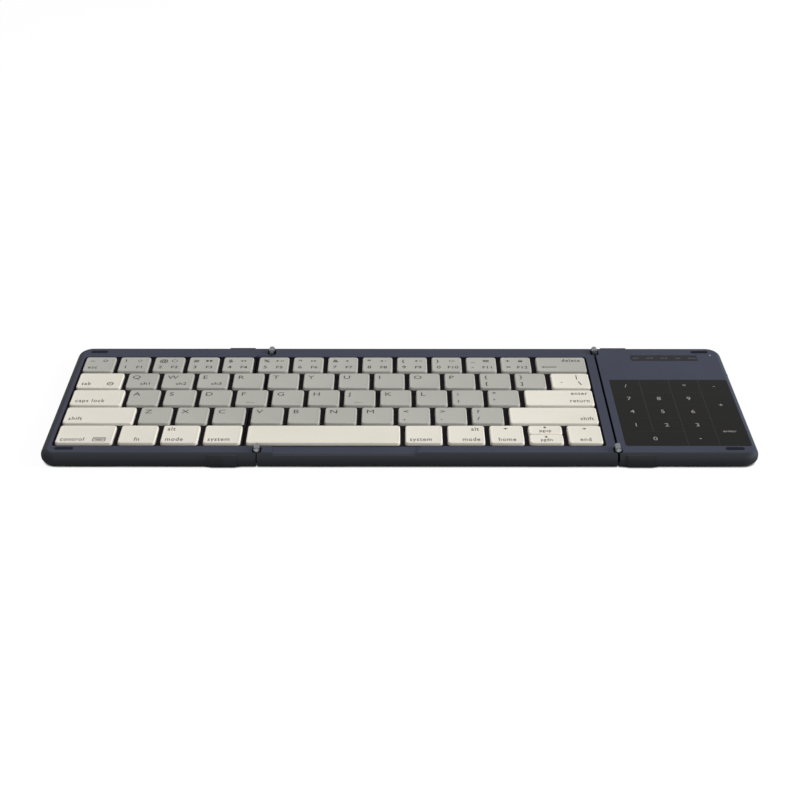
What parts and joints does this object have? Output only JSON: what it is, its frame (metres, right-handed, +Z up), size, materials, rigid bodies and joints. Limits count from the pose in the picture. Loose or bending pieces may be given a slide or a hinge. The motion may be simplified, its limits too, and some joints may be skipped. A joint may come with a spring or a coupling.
{
  "type": "folding keyboard",
  "caption": "Three-leaf folding keyboard: two outer leaves hinge up and over the centre leaf; low keys, a stepped left hinge line and a touch panel on the right leaf.",
  "frame": {"origin": "middle of the open keyboard's outline, on the plane that its feet stand on", "axes": "+X along the open keyboard towards the touch panel, +Y away from the typist, +Z up"},
  "size_m": [0.3301, 0.1086, 0.0094],
  "materials": {
    "upper_shell": "fine spark texture, dark slate blue",
    "lower_shell": "fine spark texture, darker slate",
    "key_grey": "warm grey satin keycaps",
    "key_cream": "cream satin keycaps",
    "plate_steel": "stamped steel",
    "membrane": "printed polyester film",
    "silicone": "translucent silicone",
    "foot_rubber": "black rubber",
    "screw_steel": "turned steel",
    "hinge_zinc": "plated zinc casting",
    "pin_steel": "polished steel pin",
    "panel_glass": "back-printed black glass",
    "window_gloss": "gloss black acrylic",
    "lens_clear": "clear light pipe",
    "board_green": "green circuit board",
    "battery_foil": "foil pouch cell",
    "switch_black": "black moulded slider",
    "socket_steel": "stamped steel shell"
  },
  "bodies": {
    "centre_leaf": {"centre_bottom_case": "lower_shell", "centre_top_frame": "upper_shell", "centre_key_plate": "plate_steel", "centre_membrane": "membrane", "centre_domes": "silicone", "centre_scissors": "key_cream", "centre_feet": "foot_rubber", "centre_screws": "screw_steel", "centre_hinge_brackets": "hinge_zinc", "hinge_pins": "pin_steel"},
    "left_leaf": {"left_bottom_case": "lower_shell", "left_top_frame": "upper_shell", "left_key_plate": "plate_steel", "left_membrane": "membrane", "left_domes": "silicone", "left_scissors": "key_cream", "left_feet": "foot_rubber", "left_screws": "screw_steel", "left_hinge_brackets": "hinge_zinc", "left_bumpers": "foot_rubber"},
    "right_leaf": {"right_bottom_case": "lower_shell", "right_top_deck": "upper_shell", "touch_panel": "panel_glass", "status_window": "window_gloss", "status_lens": "lens_clear", "main_board": "board_green", "battery": "battery_foil", "charging_port": "socket_steel", "right_hinge_brackets": "hinge_zinc", "right_feet": "foot_rubber", "right_screws": "screw_steel", "right_bumpers": "foot_rubber"},
    "power_switch": {"power_switch": "switch_black"},
    "escape_key": {"escape_key": "key_grey"},
    "tab_key": {"tab_key": "key_cream"},
    "caps_key": {"caps_key": "key_cream"},
    "shift_key_left": {"shift_key_left": "key_cream"},
    "control_key": {"control_key": "key_cream"},
    "fn_key": {"fn_key": "key_cream"},
    "alt_key_left": {"alt_key_left": "key_cream"},
    "system_key_left": {"system_key_left": "key_cream"},
    "digit_keys_left": {"digit_keys_left": "key_grey"},
    "top_letter_keys_left": {"top_letter_keys_left": "key_grey"},
    "home_letter_keys_left": {"home_letter_keys_left": "key_grey"},
    "low_letter_keys_left": {"low_letter_keys_left": "key_grey"},
    "delete_key": {"delete_key": "key_grey"},
    "backslash_key": {"backslash_key": "key_cream"},
    "enter_key": {"enter_key": "key_cream"},
    "shift_key_right": {"shift_key_right": "key_cream"},
    "space_bar": {"space_bar": "key_cream"},
    "system_key_right": {"system_key_right": "key_cream"},
    "alt_key_right": {"alt_key_right": "key_cream"},
    "arrow_left_key": {"arrow_left_key": "key_cream"},
    "arrow_up_key": {"arrow_up_key": "key_cream"},
    "arrow_down_key": {"arrow_down_key": "key_cream"},
    "arrow_right_key": {"arrow_right_key": "key_cream"},
    "digit_keys_centre": {"digit_keys_centre": "key_grey"},
    "top_letter_keys_centre": {"top_letter_keys_centre": "key_grey"},
    "home_letter_keys_centre": {"home_letter_keys_centre": "key_grey"},
    "low_letter_keys_centre": {"low_letter_keys_centre": "key_grey"}
  },
  "joints": [
    {"name": "left_fold", "type": "hinge", "parent": "centre_leaf", "child": "left_leaf", "pos_m": [-0.0655, 0, 0.00795], "axis": [0, 1, 0], "range_deg": [0, 180]},
    {"name": "right_fold", "type": "hinge", "parent": "centre_leaf", "child": "right_leaf", "pos_m": [0.1, 0, 0.00795], "axis": [0, -1, 0], "range_deg": [0, 180]},
    {"name": "power_slide", "type": "slide", "parent": "right_leaf", "child": "power_switch", "axis": [0, -1, 0], "range_m": [0, 0.002]},
    {"name": "escape_key_press", "type": "slide", "parent": "left_leaf", "child": "escape_key", "axis": [0, 0, -1], "range_m": [0, 0.0013], "stiffness_N_per_m": 400, "springref_m": -0.0008, "deforming": ["left_domes", "left_scissors"]},
    {"name": "tab_key_press", "type": "slide", "parent": "left_leaf", "child": "tab_key", "axis": [0, 0, -1], "range_m": [0, 0.0013], "stiffness_N_per_m": 400, "springref_m": -0.0008, "deforming": ["left_domes", "left_scissors"]},
    {"name": "caps_key_press", "type": "slide", "parent": "left_leaf", "child": "caps_key", "axis": [0, 0, -1], "range_m": [0, 0.0013], "stiffness_N_per_m": 400, "springref_m": -0.0008, "deforming": ["left_domes", "left_scissors"]},
    {"name": "shift_key_left_press", "type": "slide", "parent": "left_leaf", "child": "shift_key_left", "axis": [0, 0, -1], "range_m": [0, 0.0013], "stiffness_N_per_m": 400, "springref_m": -0.0008, "deforming": ["left_domes", "left_scissors"]},
    {"name": "control_key_press", "type": "slide", "parent": "left_leaf", "child": "control_key", "axis": [0, 0, -1], "range_m": [0, 0.0013], "stiffness_N_per_m": 400, "springref_m": -0.0008, "deforming": ["left_domes", "left_scissors"]},
    {"name": "fn_key_press", "type": "slide", "parent": "left_leaf", "child": "fn_key", "axis": [0, 0, -1], "range_m": [0, 0.0013], "stiffness_N_per_m": 400, "springref_m": -0.0008, "deforming": ["left_domes", "left_scissors"]},
    {"name": "alt_key_left_press", "type": "slide", "parent": "left_leaf", "child": "alt_key_left", "axis": [0, 0, -1], "range_m": [0, 0.0013], "stiffness_N_per_m": 400, "springref_m": -0.0008, "deforming": ["left_domes", "left_scissors"]},
    {"name": "system_key_left_press", "type": "slide", "parent": "left_leaf", "child": "system_key_left", "axis": [0, 0, -1], "range_m": [0, 0.0013], "stiffness_N_per_m": 400, "springref_m": -0.0008, "deforming": ["left_domes", "left_scissors"]},
    {"name": "digit_keys_left_press", "type": "slide", "parent": "left_leaf", "child": "digit_keys_left", "axis": [0, 0, -1], "range_m": [0, 0.0013], "stiffness_N_per_m": 800, "springref_m": -0.0008, "deforming": ["left_domes", "left_scissors"]},
    {"name": "top_letter_keys_left_press", "type": "slide", "parent": "left_leaf", "child": "top_letter_keys_left", "axis": [0, 0, -1], "range_m": [0, 0.0013], "stiffness_N_per_m": 800, "springref_m": -0.0008, "deforming": ["left_domes", "left_scissors"]},
    {"name": "home_letter_keys_left_press", "type": "slide", "parent": "left_leaf", "child": "home_letter_keys_left", "axis": [0, 0, -1], "range_m": [0, 0.0013], "stiffness_N_per_m": 800, "springref_m": -0.0008, "deforming": ["left_domes", "left_scissors"]},
    {"name": "low_letter_keys_left_press", "type": "slide", "parent": "left_leaf", "child": "low_letter_keys_left", "axis": [0, 0, -1], "range_m": [0, 0.0013], "stiffness_N_per_m": 600, "springref_m": -0.0008, "deforming": ["left_domes", "left_scissors"]},
    {"name": "delete_key_press", "type": "slide", "parent": "centre_leaf", "child": "delete_key", "axis": [0, 0, -1], "range_m": [0, 0.0013], "stiffness_N_per_m": 400, "springref_m": -0.0008, "deforming": ["centre_domes", "centre_scissors"]},
    {"name": "backslash_key_press", "type": "slide", "parent": "centre_leaf", "child": "backslash_key", "axis": [0, 0, -1], "range_m": [0, 0.0013], "stiffness_N_per_m": 400, "springref_m": -0.0008, "deforming": ["centre_domes", "centre_scissors"]},
    {"name": "enter_key_press", "type": "slide", "parent": "centre_leaf", "child": "enter_key", "axis": [0, 0, -1], "range_m": [0, 0.0013], "stiffness_N_per_m": 400, "springref_m": -0.0008, "deforming": ["centre_domes", "centre_scissors"]},
    {"name": "shift_key_right_press", "type": "slide", "parent": "centre_leaf", "child": "shift_key_right", "axis": [0, 0, -1], "range_m": [0, 0.0013], "stiffness_N_per_m": 400, "springref_m": -0.0008, "deforming": ["centre_domes", "centre_scissors"]},
    {"name": "space_bar_press", "type": "slide", "parent": "centre_leaf", "child": "space_bar", "axis": [0, 0, -1], "range_m": [0, 0.0013], "stiffness_N_per_m": 600, "springref_m": -0.0008, "deforming": ["centre_domes", "centre_scissors"]},
    {"name": "system_key_right_press", "type": "slide", "parent": "centre_leaf", "child": "system_key_right", "axis": [0, 0, -1], "range_m": [0, 0.0013], "stiffness_N_per_m": 400, "springref_m": -0.0008, "deforming": ["centre_domes", "centre_scissors"]},
    {"name": "alt_key_right_press", "type": "slide", "parent": "centre_leaf", "child": "alt_key_right", "axis": [0, 0, -1], "range_m": [0, 0.0013], "stiffness_N_per_m": 400, "springref_m": -0.0008, "deforming": ["centre_domes", "centre_scissors"]},
    {"name": "arrow_left_key_press", "type": "slide", "parent": "centre_leaf", "child": "arrow_left_key", "axis": [0, 0, -1], "range_m": [0, 0.0013], "stiffness_N_per_m": 400, "springref_m": -0.0008, "deforming": ["centre_domes", "centre_scissors"]},
    {"name": "arrow_up_key_press", "type": "slide", "parent": "centre_leaf", "child": "arrow_up_key", "axis": [0, 0, -1], "range_m": [0, 0.0013], "stiffness_N_per_m": 400, "springref_m": -0.0008, "deforming": ["centre_domes", "centre_scissors"]},
    {"name": "arrow_down_key_press", "type": "slide", "parent": "centre_leaf", "child": "arrow_down_key", "axis": [0, 0, -1], "range_m": [0, 0.0013], "stiffness_N_per_m": 400, "springref_m": -0.0008, "deforming": ["centre_domes", "centre_scissors"]},
    {"name": "arrow_right_key_press", "type": "slide", "parent": "centre_leaf", "child": "arrow_right_key", "axis": [0, 0, -1], "range_m": [0, 0.0013], "stiffness_N_per_m": 400, "springref_m": -0.0008, "deforming": ["centre_domes", "centre_scissors"]},
    {"name": "digit_keys_centre_press", "type": "slide", "parent": "centre_leaf", "child": "digit_keys_centre", "axis": [0, 0, -1], "range_m": [0, 0.0013], "stiffness_N_per_m": 1600, "springref_m": -0.0008, "deforming": ["centre_domes", "centre_scissors"]},
    {"name": "top_letter_keys_centre_press", "type": "slide", "parent": "centre_leaf", "child": "top_letter_keys_centre", "axis": [0, 0, -1], "range_m": [0, 0.0013], "stiffness_N_per_m": 1600, "springref_m": -0.0008, "deforming": ["centre_domes", "centre_scissors"]},
    {"name": "home_letter_keys_centre_press", "type": "slide", "parent": "centre_leaf", "child": "home_letter_keys_centre", "axis": [0, 0, -1], "range_m": [0, 0.0013], "stiffness_N_per_m": 1400, "springref_m": -0.0008, "deforming": ["centre_domes", "centre_scissors"]},
    {"name": "low_letter_keys_centre_press", "type": "slide", "parent": "centre_leaf", "child": "low_letter_keys_centre", "axis": [0, 0, -1], "range_m": [0, 0.0013], "stiffness_N_per_m": 1400, "springref_m": -0.0008, "deforming": ["centre_domes", "centre_scissors"]}
  ]
}
